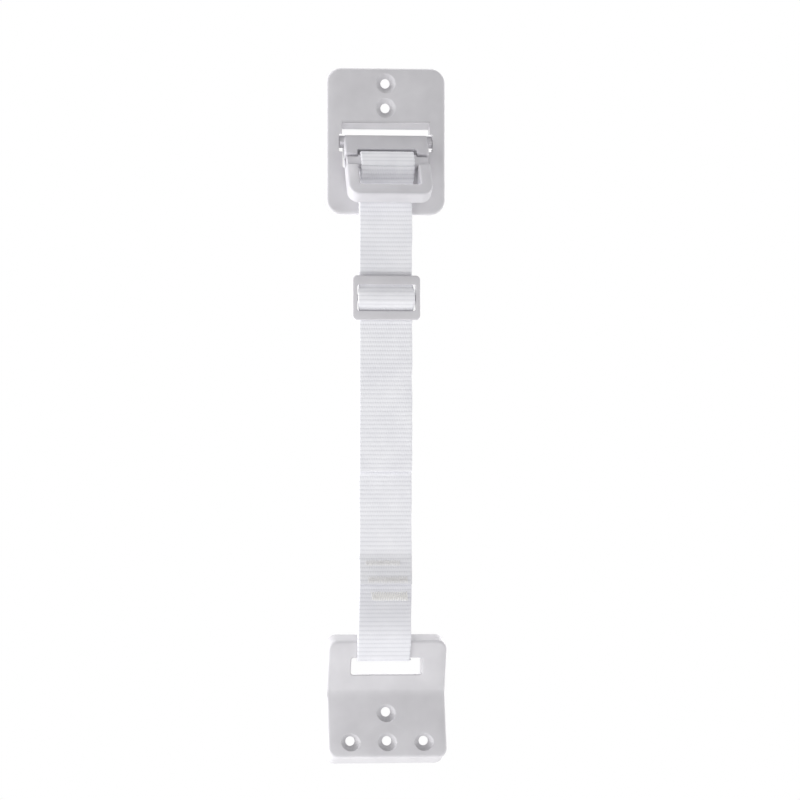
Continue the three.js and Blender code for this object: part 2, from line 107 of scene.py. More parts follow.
camera.rotation_quaternion = turn
camera.location = aim + back * CAMERA_DISTANCE
camera_data.clip_start = 0.05
camera_data.clip_end = 20.0
print("lens", round(camera_data.lens, 1), "mm at", CAMERA_DISTANCE, "m")

# %% [markdown]
# ## Light
# White card all round the object lights its sides, top and bottom more than its front, so
# the edges glow and the front is a soft grey. A pale world does part of that, and large
# lamps add the rest: strong ones at the left and the top, weaker ones at the right, below
# and behind, and two low ones in front. The backdrop is white only for the camera and for
# reflections, so it adds no light.

# %% Set up the world and lamps
WORLD_LIGHT = 0.42
BACKDROP_WHITE = 1.0
LAMP_TARGET = (0, 0, -0.15)
scene = bpy.context.scene
scene.view_settings.view_transform = "Standard"
world = bpy.data.worlds.new("white_card")
scene.world = world
world.use_nodes = True
tree = world.node_tree
tree.nodes.clear()
output = tree.nodes.new("ShaderNodeOutputWorld")
background = tree.nodes.new("ShaderNodeBackground")
path = tree.nodes.new("ShaderNodeLightPath")
direct = tree.nodes.new("ShaderNodeMath")
direct.operation = "MAXIMUM"
unlit = tree.nodes.new("ShaderNodeMath")
unlit.operation = "MAXIMUM"
background.inputs["Color"].default_value = (1, 1, 1, 1)
strength = tree.nodes.new("ShaderNodeMix")
strength.data_type = "FLOAT"
strength.inputs["A"].default_value = WORLD_LIGHT
strength.inputs["B"].default_value = BACKDROP_WHITE
tree.links.new(path.outputs["Is Camera Ray"], direct.inputs[0])
tree.links.new(path.outputs["Is Glossy Ray"], direct.inputs[1])
tree.links.new(direct.outputs[0], unlit.inputs[0])
tree.links.new(path.outputs["Is Transmission Ray"], unlit.inputs[1])
tree.links.new(unlit.outputs[0], strength.inputs["Factor"])
tree.links.new(strength.outputs["Result"], background.inputs["Strength"])
tree.links.new(background.outputs["Background"], output.inputs["Surface"])


def add_lamp(name, place, size, watts):
    data = bpy.data.lights.new(name, "AREA")
    data.shape = "SQUARE"
    data.size = size
    data.energy = watts
    lamp = bpy.data.objects.new(name, data)
    lamp.location = place
    facing = Vector(LAMP_TARGET) - Vector(place)
    lamp.rotation_euler = facing.to_track_quat("-Z", "Y").to_euler()
    bpy.context.collection.objects.link(lamp)


LAMPS = [
    ("left_card", (-1.0, 0.1, -0.15), 0.8, 11.5),
    ("lower_left_card", (-0.8, -0.6, -0.75), 0.8, 5.2),
    ("right_card", (1.0, 0.1, -0.15), 0.8, 5.0),
    ("top_card", (-0.15, 0.15, 0.95), 0.8, 8.0),
    ("bottom_card", (0.0, 0.1, -1.25), 0.8, 4.2),
    ("front_fill", (0.25, -0.95, -0.85), 0.9, 4.4),
    ("back_fill", (0.3, 1.2, -0.1), 0.9, 6.0),
]
for name, place, size, watts in LAMPS:
    add_lamp(name, place, size, watts)
print("world light", WORLD_LIGHT, "and", len(LAMPS), "lamps")

# %% [markdown]
# ## Shared surface effects
# Two effects are used by more than one material, so each is a node group with named
# inputs. The first is the fine spark-eroded grain that a steel mould leaves on plastic,
# with a slow unevenness under it. The second is the fuzz of fine filaments in thread.

# %% Build the shader groups
def new_group(name, inputs, outputs):
    group = bpy.data.node_groups.new(name, "ShaderNodeTree")
    for label, kind, value in inputs:
        socket = group.interface.new_socket(label, in_out="INPUT", socket_type=kind)
        if value is not None:
            socket.default_value = value
    for label, kind in outputs:
        group.interface.new_socket(label, in_out="OUTPUT", socket_type=kind)
    return group, group.nodes.new("NodeGroupInput"), group.nodes.new("NodeGroupOutput")


def moulded_grain_group():
    group, given, out = new_group(
        "moulded_grain",
        [("Vector", "NodeSocketVector", None), ("Grain Scale", "NodeSocketFloat", 5200.0),
         ("Grain Height", "NodeSocketFloat", 0.3), ("Flow Scale", "NodeSocketFloat", 90.0),
         ("Flow Amount", "NodeSocketFloat", 0.5)],
        [("Height", "NodeSocketFloat"), ("Mottle", "NodeSocketFloat")])
    links = group.links
    grain = group.nodes.new("ShaderNodeTexNoise")
    grain.inputs["Detail"].default_value = 3.0
    flow = group.nodes.new("ShaderNodeTexNoise")
    flow.inputs["Detail"].default_value = 2.0
    links.new(given.outputs["Vector"], grain.inputs["Vector"])
    links.new(given.outputs["Grain Scale"], grain.inputs["Scale"])
    links.new(given.outputs["Vector"], flow.inputs["Vector"])
    links.new(given.outputs["Flow Scale"], flow.inputs["Scale"])
    small = group.nodes.new("ShaderNodeMath")
    small.operation = "MULTIPLY"
    links.new(grain.outputs["Fac"], small.inputs[0])
    links.new(given.outputs["Grain Height"], small.inputs[1])
    slow = group.nodes.new("ShaderNodeMath")
    slow.operation = "MULTIPLY"
    links.new(flow.outputs["Fac"], slow.inputs[0])
    links.new(given.outputs["Flow Amount"], slow.inputs[1])
    total = group.nodes.new("ShaderNodeMath")
    total.operation = "ADD"
    links.new(small.outputs[0], total.inputs[0])
    links.new(slow.outputs[0], total.inputs[1])
    links.new(total.outputs[0], out.inputs["Height"])
    links.new(flow.outputs["Fac"], out.inputs["Mottle"])
    return group


def filament_group():
    group, given, out = new_group(
        "filament_fuzz",
        [("Vector", "NodeSocketVector", None), ("Across Scale", "NodeSocketFloat", 9000.0),
         ("Along Share", "NodeSocketFloat", 0.12), ("Cloud Scale", "NodeSocketFloat", 75.0)],
        [("Height", "NodeSocketFloat"), ("Cloud", "NodeSocketFloat")])
    links = group.links
    stretch = group.nodes.new("ShaderNodeVectorMath")
    stretch.operation = "MULTIPLY"
    combine = group.nodes.new("ShaderNodeCombineXYZ")
    combine.inputs["X"].default_value = 1.0
    combine.inputs["Z"].default_value = 1.0
    links.new(given.outputs["Along Share"], combine.inputs["Y"])
    links.new(given.outputs["Vector"], stretch.inputs[0])
    links.new(combine.outputs["Vector"], stretch.inputs[1])
    hair = group.nodes.new("ShaderNodeTexNoise")
    hair.inputs["Detail"].default_value = 2.0
    links.new(stretch.outputs["Vector"], hair.inputs["Vector"])
    links.new(given.outputs["Across Scale"], hair.inputs["Scale"])
    cloud = group.nodes.new("ShaderNodeTexNoise")
    cloud.inputs["Detail"].default_value = 3.0
    links.new(given.outputs["Vector"], cloud.inputs["Vector"])
    links.new(given.outputs["Cloud Scale"], cloud.inputs["Scale"])
    links.new(hair.outputs["Fac"], out.inputs["Height"])
    links.new(cloud.outputs["Fac"], out.inputs["Cloud"])
    return group


GRAIN = moulded_grain_group()
FUZZ = filament_group()
print("groups:", GRAIN.name, FUZZ.name)

# %% [markdown]
# ## The moulded plastic
# The plates, buckle, bar and slider are one cool white plastic, satin and slightly grey.
# The buckle and its bar get a darker copy of it, which is painted shade for their faces
# tilted up from the light. A real moulding is never one flat colour: it is lighter or
# darker where the melt flowed slowly, so a faint mottle moves the colour and roughness a
# little.

# %% Mix the plastic
def ramp(tree, low, high, low_at=0.3, high_at=0.7):
    node = tree.nodes.new("ShaderNodeValToRGB")
    node.color_ramp.elements[0].position = low_at
    node.color_ramp.elements[1].position = high_at
    node.color_ramp.elements[0].color = (*low, 1)
    node.color_ramp.elements[1].color = (*high, 1)
    return node


ROUGHNESS_SPREAD = 0.05


def moulded_plastic(name, dark, light, roughness):
    material = bpy.data.materials.new(name)
    material.use_nodes = True
    tree = material.node_tree
    shader = tree.nodes["Principled BSDF"]
    shader.inputs["IOR"].default_value = 1.5
    shader.inputs["Specular IOR Level"].default_value = 0.45
    place = tree.nodes.new("ShaderNodeTexCoord")
    grain = tree.nodes.new("ShaderNodeGroup")
    grain.node_tree = GRAIN
    tree.links.new(place.outputs["Object"], grain.inputs["Vector"])
    colour = ramp(tree, dark, light)
    tree.links.new(grain.outputs["Mottle"], colour.inputs["Fac"])
    tree.links.new(colour.outputs["Color"], shader.inputs["Base Color"])
    rough = tree.nodes.new("ShaderNodeMapRange")
    rough.inputs["To Min"].default_value = roughness - ROUGHNESS_SPREAD
    rough.inputs["To Max"].default_value = roughness + ROUGHNESS_SPREAD
    tree.links.new(grain.outputs["Mottle"], rough.inputs["Value"])
    tree.links.new(rough.outputs["Result"], shader.inputs["Roughness"])
    bump = tree.nodes.new("ShaderNodeBump")
    bump.inputs["Strength"].default_value = 0.12
    bump.inputs["Distance"].default_value = 0.00008
    tree.links.new(grain.outputs["Height"], bump.inputs["Height"])
    tree.links.new(bump.outputs["Normal"], shader.inputs["Normal"])
    return material


PLATE_PLASTIC = moulded_plastic("plate_plastic", (0.60, 0.59, 0.615), (0.655, 0.645, 0.67),
                                roughness=0.42)
# Painted shade: the buckle's copy of the plastic is darker than the plates' copy.
SHADED_BUCKLE_PLASTIC = moulded_plastic("buckle_plastic_painted_shade", (0.575, 0.565, 0.595), (0.63, 0.62, 0.65),
                                 roughness=0.4)
print("plastics:", PLATE_PLASTIC.name, SHADED_BUCKLE_PLASTIC.name)

# %% [markdown]
# ## The mouldings
# Each plastic piece has its true form in the solid model, but with knife edges. A mould
# cannot make those: every outer edge has a small radius that catches the light, and the
# rims of the openings that the strap rubs on are rounder still. A copy of the solid is
# welded, its flat faces are joined, and each sharp outer edge gets a bevel weight for its
# own radius. A Bevel modifier that reads the weights then rounds them all together, which
# keeps the corners where two radii meet closed. Inner edges stay sharp, and so do those
# behind the buckle's head, but the furniture plate's bend is a soft one.

# %% Round the edges of the plastic pieces
WELD = 1e-6
FLAT_ANGLE = math.radians(0.6)
SHARP_ANGLE = math.radians(32)
BEND_ANGLE = math.radians(25)
SMOOTH_ANGLE = math.radians(38)
BUCKLE_TILT = math.radians(35)
PIVOT = np.array([-2.6, -23.4])
EDGE_SEGMENTS = 3
COMMON_EDGE = 0.28
RIM_EDGE = 0.45
SLOT_EDGE = 0.8
WINDOW_EDGE = 0.9
OPENING_EDGE = 1.0
WIDEST_EDGE = 2.5
WINDOW_TOP = (-13.4, -12.0)
WINDOW_HALF_WIDTH = 21.4
OPENING_HALF_WIDTH = 14.6
OPENING_FRONT = -3.6
OPENING_LOW = -15.5
HEAD_BACK_LOW = 2.0
HEAD_BACK_FRONT = -1.0
BEND_Z = -285.0
BEND_DEPTH = (-5.0, -3.5)
BEND_NEAR = 0.5
SLOT_HALF_WIDTH = 17.3
SLOT_HEIGHT = (-276.2, -267.2)
SLOT_FRONT = -5.5


def in_buckle(point):
    y, z = point.y / MM - PIVOT[0], point.z / MM - PIVOT[1]
    return (point.x / MM, y * math.cos(BUCKLE_TILT) - z * math.sin(BUCKLE_TILT),
            y * math.sin(BUCKLE_TILT) + z * math.cos(BUCKLE_TILT))


def at_bend(point):
    deep_enough = BEND_DEPTH[0] < point.y / MM < BEND_DEPTH[1]
    return deep_enough and abs(point.z / MM - BEND_Z) < BEND_NEAR


def wall_plate_edge(point):
    x, z = abs(point.x / MM), point.z / MM
    window_top = WINDOW_TOP[0] < z < WINDOW_TOP[1] and x < WINDOW_HALF_WIDTH
    return WINDOW_EDGE if window_top else COMMON_EDGE


def buckle_edge(point):
    x, y, z = in_buckle(point)
    front_rim = y < OPENING_FRONT and abs(x) < OPENING_HALF_WIDTH
    if front_rim and z < OPENING_LOW:
        return OPENING_EDGE
    behind_head = z > HEAD_BACK_LOW and y > HEAD_BACK_FRONT
    if behind_head:
        return 0.0
    return RIM_EDGE if front_rim else COMMON_EDGE


def plain_edge(point):
    return COMMON_EDGE


def furniture_plate_edge(point):
    x, y, z = abs(point.x / MM), point.y / MM, point.z / MM
    if at_bend(point):
        return WIDEST_EDGE
    slot_rim = x < SLOT_HALF_WIDTH and SLOT_HEIGHT[0] < z < SLOT_HEIGHT[1] and y < SLOT_FRONT
    return SLOT_EDGE if slot_rim else COMMON_EDGE


def rounded_moulding(node_name, new_name, body, material, edge_rule):
    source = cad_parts[node_name]
    form = bmesh.new()
    form.from_mesh(source.data)
    bmesh.ops.remove_doubles(form, verts=form.verts, dist=WELD)
    bmesh.ops.dissolve_limit(form, angle_limit=FLAT_ANGLE, verts=form.verts, edges=form.edges)
    weight = form.edges.layers.float.new("bevel_weight_edge")
    sharp = 0
    for edge in form.edges:
        middle = (edge.verts[0].co + edge.verts[1].co) / 2
        if not edge.is_convex and not at_bend(middle):
            continue
        least_angle = BEND_ANGLE if at_bend(middle) else SHARP_ANGLE
        if len(edge.link_faces) == 2 and edge.calc_face_angle() > least_angle:
            edge[weight] = edge_rule(middle) / WIDEST_EDGE
            sharp += 1
    mesh = bpy.data.meshes.new(new_name)
    form.to_mesh(mesh)
    form.free()
    mesh.shade_smooth()
    mesh.set_sharp_from_angle(angle=SMOOTH_ANGLE)
    piece = bpy.data.objects.new(new_name, mesh)
    bpy.context.collection.objects.link(piece)
    bevel = piece.modifiers.new("edge_radius", "BEVEL")
    bevel.width = WIDEST_EDGE * MM
    bevel.segments = EDGE_SEGMENTS
    bevel.limit_method = "WEIGHT"
    bevel.use_clamp_overlap = False
    bevel.loop_slide = False
    bevel.harden_normals = True
    mesh.materials.append(material)
    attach(piece, body)
    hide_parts(node_name)
    print(new_name, len(mesh.polygons), "faces,", sharp, "edges to round")


MOULDINGS = [
    ("wall_plate", "wall_plate_moulding", "wall_plate", PLATE_PLASTIC, wall_plate_edge),
    ("buckle_frame", "buckle_moulding", "buckle", SHADED_BUCKLE_PLASTIC, buckle_edge),
    ("lock_bar", "lock_bar_moulding", "lock_bar", SHADED_BUCKLE_PLASTIC, plain_edge),
    ("strap_slider", "slider_moulding", "strap_slider", PLATE_PLASTIC, plain_edge),
    ("furniture_plate", "furniture_plate_moulding", "furniture_plate", PLATE_PLASTIC,
     furniture_plate_edge),
]
for node_name, new_name, body, material, edge_rule in MOULDINGS:
    rounded_moulding(node_name, new_name, body, material, edge_rule)

# %% [markdown]
# ## The route of the strap
# Webbing bends only one way, so its shape is a line in a side view, y and z, with a
# constant width. The line is built from straights, arcs and easy curves, in the same
# places as the solid strap, and is then walked at even steps.

# %% Draw the routes in a side view
WRAP_RADIUS = 2.275
TURN_BACK = (-0.8, -8.6)
TURN_FRONT = (-1.4, -8.6)
TURN_LOW = (-1.4, -12.8)
TAIL_LEAVE = math.radians(16)
TAIL_SETTLE = -51.0
TAIL_EASE = 2.4
STRAP_T = 1.35
LAYER_GAP = 0.3
SEAM_TOP = -221.2
SEAM_LOW = -232.9
SEAM_BEND_TOP = -195.0
SEAM_FORWARD = 2.2
STRAP_SIDE_SHIFT = -0.5
FOLD_SIDE_SHIFT = -1.4
FOLD_SHIFTED = -255.9
FOLD_FRONT_SHARE = 0.1
FOLD_DEPTH = (4.2, 8.5)
TAIL_END = -179.4
SLIDER_MIDDLE = -96.5


def from_buckle(point):
    y, z = point
    return PIVOT + np.array([y * math.cos(BUCKLE_TILT) + z * math.sin(BUCKLE_TILT),
                             -y * math.sin(BUCKLE_TILT) + z * math.cos(BUCKLE_TILT)])


def line(a, b, step=0.25):
    a, b = np.array(a, float), np.array(b, float)
    count = max(int(np.linalg.norm(b - a) / step), 1)
    return [a + (b - a) * k / count for k in range(count + 1)]


def arc(centre, radius, start, end, count=24):
    return [np.array([centre[0] + radius * math.cos(start + (end - start) * k / count),
                      centre[1] + radius * math.sin(start + (end - start) * k / count)])
            for k in range(count + 1)]


def bezier(a, b, c, d, count=60):
    a, b, c, d = (np.array(p, float) for p in (a, b, c, d))
    steps = [k / count for k in range(count + 1)]
    return [a * (1 - t) ** 3 + 3 * b * t * (1 - t) ** 2 + 3 * c * t * t * (1 - t) + d * t ** 3
            for t in steps]


def quadratic(a, b, c, count=60):
    a, b, c = (np.array(p, float) for p in (a, b, c))
    steps = [k / count for k in range(count + 1)]
    return [a * (1 - t) ** 2 + 2 * b * t * (1 - t) + c * t * t for t in steps]


def smooth(value, low, high):
    share = np.clip((value - low) / (high - low), 0, 1)
    return share * share * (3 - 2 * share)


def side_shift(y, z):
    skew = FOLD_FRONT_SHARE + (1 - FOLD_FRONT_SHARE) * smooth(-y, *FOLD_DEPTH)
    return (STRAP_SIDE_SHIFT * smooth(-z, -PIVOT[1], -TAIL_SETTLE)
            + FOLD_SIDE_SHIFT * skew * smooth(-z, -SEAM_LOW, -FOLD_SHIFTED))


def lean_forward(z):
    share = np.clip((SEAM_BEND_TOP - z) / (SEAM_BEND_TOP - SEAM_LOW), 0, 1)
    return SEAM_FORWARD * share * share


def walk(points):
    kept = [points[0]]
    for point in points[1:]:
        if np.linalg.norm(point - kept[-1]) > 1e-4:
            kept.append(point)
    line_points = np.array(kept)
    steps = np.linalg.norm(np.diff(line_points, axis=0), axis=1)
    return line_points, np.concatenate([[0], np.cumsum(steps)])


turn_back, turn_front, turn_low = (from_buckle(p) for p in (TURN_BACK, TURN_FRONT, TURN_LOW))
MAIN_Y = turn_back[0] + WRAP_RADIUS
TAIL_Y = MAIN_Y - STRAP_T - LAYER_GAP
over_top = math.pi / 2 - BUCKLE_TILT
over_front = math.pi - BUCKLE_TILT
leave = math.pi + TAIL_LEAVE
lead_points = (quadratic((MAIN_Y - SEAM_FORWARD, SEAM_LOW),
                         (MAIN_Y, (SEAM_LOW + SEAM_BEND_TOP) / 2),
                         (MAIN_Y, SEAM_BEND_TOP))
               + line((MAIN_Y, SEAM_BEND_TOP), (MAIN_Y, turn_back[1]))
               + arc(turn_back, WRAP_RADIUS, 0, over_top)
               + arc(turn_front, WRAP_RADIUS, over_top, over_front)
               + arc(turn_low, WRAP_RADIUS, over_front, leave))
start = lead_points[-1]
pull = (start[1] - TAIL_SETTLE) / TAIL_EASE
heading = np.array([math.sin(TAIL_LEAVE), -math.cos(TAIL_LEAVE)])
tail_points = (bezier(start, start + pull * heading,
                      (TAIL_Y, TAIL_SETTLE + pull), (TAIL_Y, TAIL_SETTLE))
               + line((TAIL_Y, TAIL_SETTLE), (TAIL_Y, TAIL_END)))
lead_length, tail_length = (walk(points)[1][-1] for points in (lead_points, tail_points))
print("lead", round(lead_length, 1), "mm, tail", round(tail_length, 1), "mm")

# %% [markdown]
# ## The webbing
# Ribbed webbing is a plain weave whose thick cross threads make the ribs. The lengthwise
# yarns cross over them as small knuckles, and each rib's knuckles sit between those of the
# last one. A picture of that would go flat at the edges, so the weave is real relief: a
# fine grid is extruded to a closed strip, and each of its points is set onto the route with
# a rib and knuckle height worked out from how far along and across the strip it is.

# %% Weave a strip along a route
WEBBING_WIDTH = 25.4
RIB_PITCH = 2.06
KNUCKLES = 22
KNUCKLE_PITCH = WEBBING_WIDTH / KNUCKLES
RIB_RELIEF = 0.19
VALLEY_DEPTH = 0.28
CREST_YARN = 0.16
SELVAGE = 0.7
SELVAGE_LOOP = 0.16
ROWS_PER_RIB = 4
POINTS_PER_KNUCKLE = 4
EDGE_WANDER = 0.2
WANDER_STEP = 6.0
SELVAGE_ROUNDING = 0.86
SLOPE_REACH = 0.3
THINNEST_END = 0.25


def strip_grid(name, rows, columns):
    form = bmesh.new()
    bmesh.ops.create_grid(form, x_segments=columns, y_segments=rows, size=0.5)
    sheet_faces = list(form.faces)
    grown = bmesh.ops.extrude_face_region(form, geom=sheet_faces, use_keep_orig=True)
    lifted = [v for v in grown["geom"] if isinstance(v, bmesh.types.BMVert)]
    bmesh.ops.translate(form, verts=lifted, vec=(0, 0, 1))
    bmesh.ops.recalc_face_normals(form, faces=form.faces)
    mesh = bpy.data.meshes.new(name)
    form.to_mesh(mesh)
    form.free()
    return mesh


def weave_height(across, ribs, side):
    from_valley = ribs - np.round(ribs)
    valley = (1 - 2 * np.abs(from_valley)) ** 3
    stagger = 0.5 * ((np.round(ribs) + side) % 2)
    dive = 0.5 + 0.5 * np.cos(2 * math.pi * (across / KNUCKLE_PITCH + stagger))
    over = 0.5 * ((np.floor(ribs) + side) % 2)
    crown = 0.5 + 0.5 * np.cos(2 * math.pi * (across / KNUCKLE_PITCH + over))
    sunk = valley * (VALLEY_DEPTH + (1 - VALLEY_DEPTH) * dive)
    return 1 - sunk - (1 - valley) * CREST_YARN * (1 - crown)


def constant_width(z):
    return 1.0


def woven_strip(name, points, seed, first_rib=0, thin_ends=0.0, spread_out=constant_width):
    middle, lengths = walk(points)
    total = lengths[-1]
    rib_count = int(round(total / RIB_PITCH))
    pitch = total / rib_count
    rows = rib_count * ROWS_PER_RIB
    columns = KNUCKLES * POINTS_PER_KNUCKLE
    mesh = strip_grid(name, rows, columns)
    count = len(mesh.vertices)
    flat = np.empty(count * 3)
    mesh.vertices.foreach_get("co", flat)
    flat = flat.reshape(-1, 3)
    across = flat[:, 0] * WEBBING_WIDTH
    along = (flat[:, 1] + 0.5) * total
    side = (flat[:, 2] > 0.5).astype(float)
    centre_y = np.interp(along, lengths, middle[:, 0])
    centre_z = np.interp(along, lengths, middle[:, 1])
    ahead = np.clip(along + SLOPE_REACH, 0, total)
    behind = np.clip(along - SLOPE_REACH, 0, total)
    slope_y = np.interp(ahead, lengths, middle[:, 0]) - np.interp(behind, lengths, middle[:, 0])
    slope_z = np.interp(ahead, lengths, middle[:, 1]) - np.interp(behind, lengths, middle[:, 1])
    size = np.hypot(slope_y, slope_z)
    normal_y, normal_z = -slope_z / size, slope_y / size
    chance = np.random.RandomState(seed)
    knots = np.arange(0, total + 2 * WANDER_STEP, WANDER_STEP)
    wander_left = np.interp(along, knots, chance.uniform(-1, 1, len(knots)) * EDGE_WANDER)
    wander_right = np.interp(along, knots, chance.uniform(-1, 1, len(knots)) * EDGE_WANDER)
    edge = np.clip((np.abs(across) - (WEBBING_WIDTH / 2 - SELVAGE)) / SELVAGE, 0, 1)
    round_off = np.sqrt(np.clip(1 - edge ** 2 * SELVAGE_ROUNDING, 0, 1))
    ribs = along / pitch + first_rib
    height = weave_height(across, ribs, side)
    half = STRAP_T / 2 - RIB_RELIEF * (1 - height)
    if thin_ends:
        to_end = np.minimum(along, total - along) / thin_ends
        half = half * (THINNEST_END + (1 - THINNEST_END) * np.clip(to_end, 0, 1))
    offset = np.where(side > 0.5, 1, -1) * half * round_off
    loop = (0.5 - 0.5 * np.cos(2 * math.pi * ribs)) * SELVAGE_LOOP
    wander = np.where(across < 0, wander_left, wander_right)
    shift = np.sign(across) * edge * loop + wander * edge
    sideways = across * spread_out(centre_z) + shift + side_shift(centre_y, centre_z)
    placed = np.stack([sideways, centre_y + normal_y * offset, centre_z + normal_z * offset], 1)
    mesh.vertices.foreach_set("co", (placed * MM).ravel())
    corners = np.empty(len(mesh.loops), int)
    mesh.loops.foreach_get("vertex_index", corners)
    uv = mesh.uv_layers.new(name="cloth")
    flat_place = np.stack([across * MM, ribs * RIB_PITCH * MM], 1)[corners]
    uv.data.foreach_set("uv", flat_place.ravel())
    mesh.update()
    mesh.shade_smooth()
    form = bmesh.new()
    form.from_mesh(mesh)
    if form.calc_volume(signed=True) < 0:
        bmesh.ops.reverse_faces(form, faces=form.faces)
        form.to_mesh(mesh)
    form.free()
    strip = bpy.data.objects.new(name, mesh)
    bpy.context.collection.objects.link(strip)
    print(name, rows, "rows of", columns, "points,", round(total, 1), "mm long")
    return strip


# %% [markdown]
# The yarn is bright white polyester. Its colour comes from the weave itself: crests are
# clean, and the valleys between ribs are a little greyer, because less light gets in. Fine
# filaments run along each yarn as bump, and a slow cloudiness keeps the strap from looking
# printed. The strap's sewn end is a shade greyer, which is painted shade where it tilts up
# at the seam, and the loop is greyer all over, which is painted shade for its lean.

# %% Mix the webbing
# Length and fade of the painted shade over the strap's sewn end.
SHADED_SEAM_LENGTH = 12.0
SEAM_SHADE_FADE = 5.0


def webbing_material(name, valley, crest, seam_shade=1.0):
    material = bpy.data.materials.new(name)
    material.use_nodes = True
    tree = material.node_tree
    shader = tree.nodes["Principled BSDF"]
    shader.inputs["Roughness"].default_value = 0.78
    shader.inputs["Specular IOR Level"].default_value = 0.25
    shader.inputs["Sheen Weight"].default_value = 0.12
    shader.inputs["Sheen Roughness"].default_value = 0.4
    place = tree.nodes.new("ShaderNodeUVMap")
    place.uv_map = "cloth"
    fuzz = tree.nodes.new("ShaderNodeGroup")
    fuzz.node_tree = FUZZ
    tree.links.new(place.outputs["UV"], fuzz.inputs["Vector"])
    split = tree.nodes.new("ShaderNodeSeparateXYZ")
    tree.links.new(place.outputs["UV"], split.inputs["Vector"])
    turns = tree.nodes.new("ShaderNodeMath")
    turns.operation = "MULTIPLY"
    turns.inputs[1].default_value = 2 * math.pi / (RIB_PITCH * MM)
    tree.links.new(split.outputs["Y"], turns.inputs[0])
    wave = tree.nodes.new("ShaderNodeMath")
    wave.operation = "COSINE"
    tree.links.new(turns.outputs[0], wave.inputs[0])
    depth = tree.nodes.new("ShaderNodeMapRange")
    depth.inputs["From Min"].default_value = 1.0
    depth.inputs["From Max"].default_value = 0.2
    tree.links.new(wave.outputs[0], depth.inputs["Value"])
    shade = ramp(tree, valley, crest, 0.0, 1.0)
    tree.links.new(depth.outputs["Result"], shade.inputs["Fac"])
    cloud = tree.nodes.new("ShaderNodeMix")
    cloud.data_type = "RGBA"
    cloud.blend_type = "MULTIPLY"
    cloud.inputs["Factor"].default_value = 1.0
    tint = ramp(tree, (0.93, 0.93, 0.94), (1.0, 1.0, 1.0))
    tree.links.new(fuzz.outputs["Cloud"], tint.inputs["Fac"])
    tree.links.new(shade.outputs["Color"], cloud.inputs["A"])
    tree.links.new(tint.outputs["Color"], cloud.inputs["B"])
    # Painted shade: the colour is darkened over the sewn end and fades back to full a few mm
    # on.
    sewn = tree.nodes.new("ShaderNodeMapRange")
    sewn.interpolation_type = "SMOOTHSTEP"
    sewn.inputs["From Min"].default_value = SHADED_SEAM_LENGTH * MM
    sewn.inputs["From Max"].default_value = (SHADED_SEAM_LENGTH + SEAM_SHADE_FADE) * MM
    sewn.inputs["To Min"].default_value = seam_shade
    tree.links.new(split.outputs["Y"], sewn.inputs["Value"])
    settle = tree.nodes.new("ShaderNodeMix")
    settle.data_type = "RGBA"
    settle.blend_type = "MULTIPLY"
    settle.inputs["Factor"].default_value = 1.0
    tree.links.new(cloud.outputs["Result"], settle.inputs["A"])
    tree.links.new(sewn.outputs["Result"], settle.inputs["B"])
    tree.links.new(settle.outputs["Result"], shader.inputs["Base Color"])
    bump = tree.nodes.new("ShaderNodeBump")
    bump.inputs["Strength"].default_value = 0.5
    bump.inputs["Distance"].default_value = 0.00006
    tree.links.new(fuzz.outputs["Height"], bump.inputs["Height"])
    tree.links.new(bump.outputs["Normal"], shader.inputs["Normal"])
    return material


STRAP_VALLEY = (0.83, 0.83, 0.865)
STRAP_CREST = (0.93, 0.93, 0.96)
WEBBING = webbing_material("white_webbing", STRAP_VALLEY, STRAP_CREST)
# Painted shade: the loop's copy of the webbing is greyer all over for its upward lean.
SHADED_LOOP_WEBBING = webbing_material("loop_webbing_painted_shade", (0.77, 0.77, 0.81), (0.86, 0.86, 0.895))
# The lead's copy of the webbing carries painted shade over its sewn end.
SEWN_END_SHADED_WEBBING = webbing_material("sewn_end_shaded_webbing", STRAP_VALLEY, STRAP_CREST, seam_shade=0.84)
print("webbing:", WEBBING.name, SHADED_LOOP_WEBBING.name, SEWN_END_SHADED_WEBBING.name)

# %% [markdown]
# ## The strap in two lengths
# The lead comes up from the sewn seam, behind the buckle's lock bar and over it. The tail
# goes on from there, down through the slider to its free end. They are one strap, cut here
# where the lock bar's front ends, so that each stays a manageable mesh.

# %% Weave the lead and the tail
lead = woven_strip("strap_lead", lead_points, seed=3)
lead_ribs = round(lead_length / RIB_PITCH)
tail = woven_strip("strap_tail", tail_points, seed=5, first_rib=lead_ribs)
for strip, material in ((lead, SEWN_END_SHADED_WEBBING), (tail, WEBBING)):
    strip.data.materials.append(material)
    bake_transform(strip)
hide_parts("webbing_strap")
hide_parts("webbing_strap")
print("faces:", len(lead.data.polygons) + len(tail.data.polygons))

# %% [markdown]
# ## The turn over the slider's bar
# The tail goes behind the slider's upper bar, over its middle bar and behind the lower one.
# That bulge belongs to wherever the slider stands, so it is a short strip that moves with
# the slider, with both ends tucked behind the outer bars against the tail.

